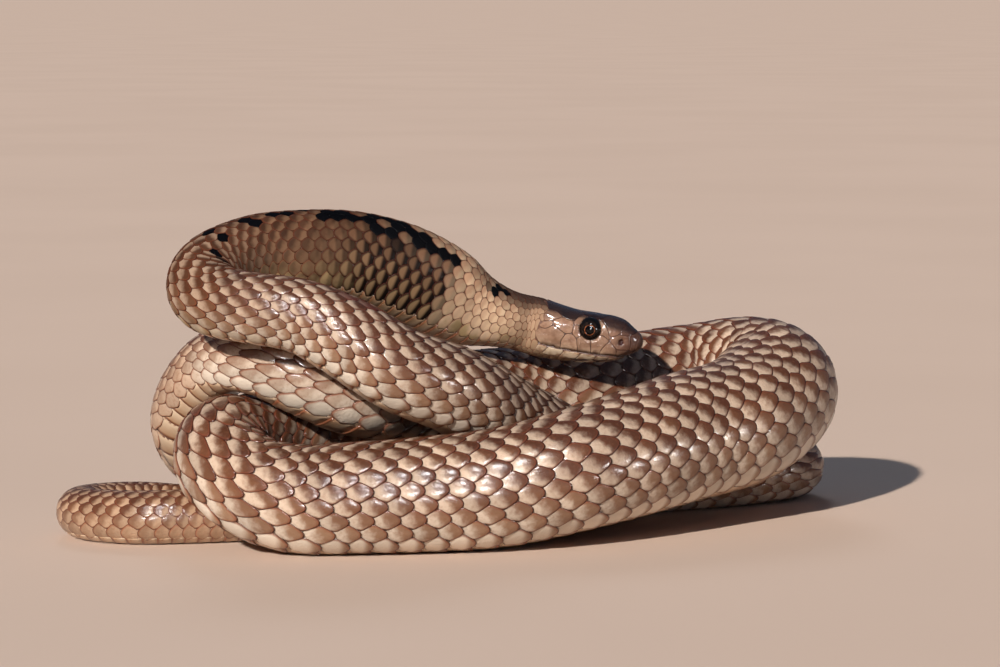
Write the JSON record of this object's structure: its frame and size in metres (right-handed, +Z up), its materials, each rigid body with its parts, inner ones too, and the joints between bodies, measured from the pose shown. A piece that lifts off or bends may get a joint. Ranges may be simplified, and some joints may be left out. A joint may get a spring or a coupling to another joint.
{
  "type": "coiled snake",
  "caption": "Life-size brown snake resting in a loose heap of coils, head raised over the front coil, as a museum-style still.",
  "frame": {"origin": "middle of the heap's footprint, on the floor that the snake lies on", "axes": "+X along the longest side of the heap, the way the snout points; +Y away from the side that the head's right cheek faces; +Z up"},
  "size_m": [0.248, 0.1644, 0.1013],
  "materials": {
    "body_scales": "smooth glossy scales, brown with a pale base and a darker reddish rim, paler down the flanks",
    "neck_scales": "smooth satin scales, tan with thin brown outlines and scattered blue-black blotches",
    "head_shields": "large smooth glossy shields, dark brown crown and paler brown cheeks",
    "jaw_shields": "smooth satin shields, yellowish cream",
    "eye": "mirror-smooth clear spectacle over a near-black iris with a thin orange ring round the pupil"
  },
  "bodies": {
    "root": {"head": "head_shields", "lower_jaw": "jaw_shields", "eye_right": "eye", "eye_left": "eye", "nape": "neck_scales", "neck": "neck_scales", "arch_of_neck": "neck_scales", "upper_left_turn": "body_scales", "fore_trunk_1": "body_scales", "fore_trunk_2": "body_scales", "fore_trunk_3": "body_scales", "lower_right_turn_1": "body_scales", "lower_right_turn_2": "body_scales", "mid_trunk_1": "body_scales", "mid_trunk_2": "body_scales", "mid_trunk_3": "body_scales", "lower_left_turn_1": "body_scales", "lower_left_turn_2": "body_scales", "mid_trunk_4": "body_scales", "mid_trunk_5": "body_scales", "mid_trunk_6": "body_scales", "upper_right_turn_1": "body_scales", "upper_right_turn_2": "body_scales", "mid_trunk_7": "body_scales", "hind_trunk_1": "body_scales", "hind_trunk_2": "body_scales", "hind_trunk_3": "body_scales", "hind_trunk_4": "body_scales", "hind_trunk_5": "body_scales", "hind_trunk_6": "body_scales", "hind_trunk_7": "body_scales", "hind_trunk_8": "body_scales", "tail_1": "body_scales", "tail_2": "body_scales", "tail_3": "body_scales"}
  },
  "joints": []
}
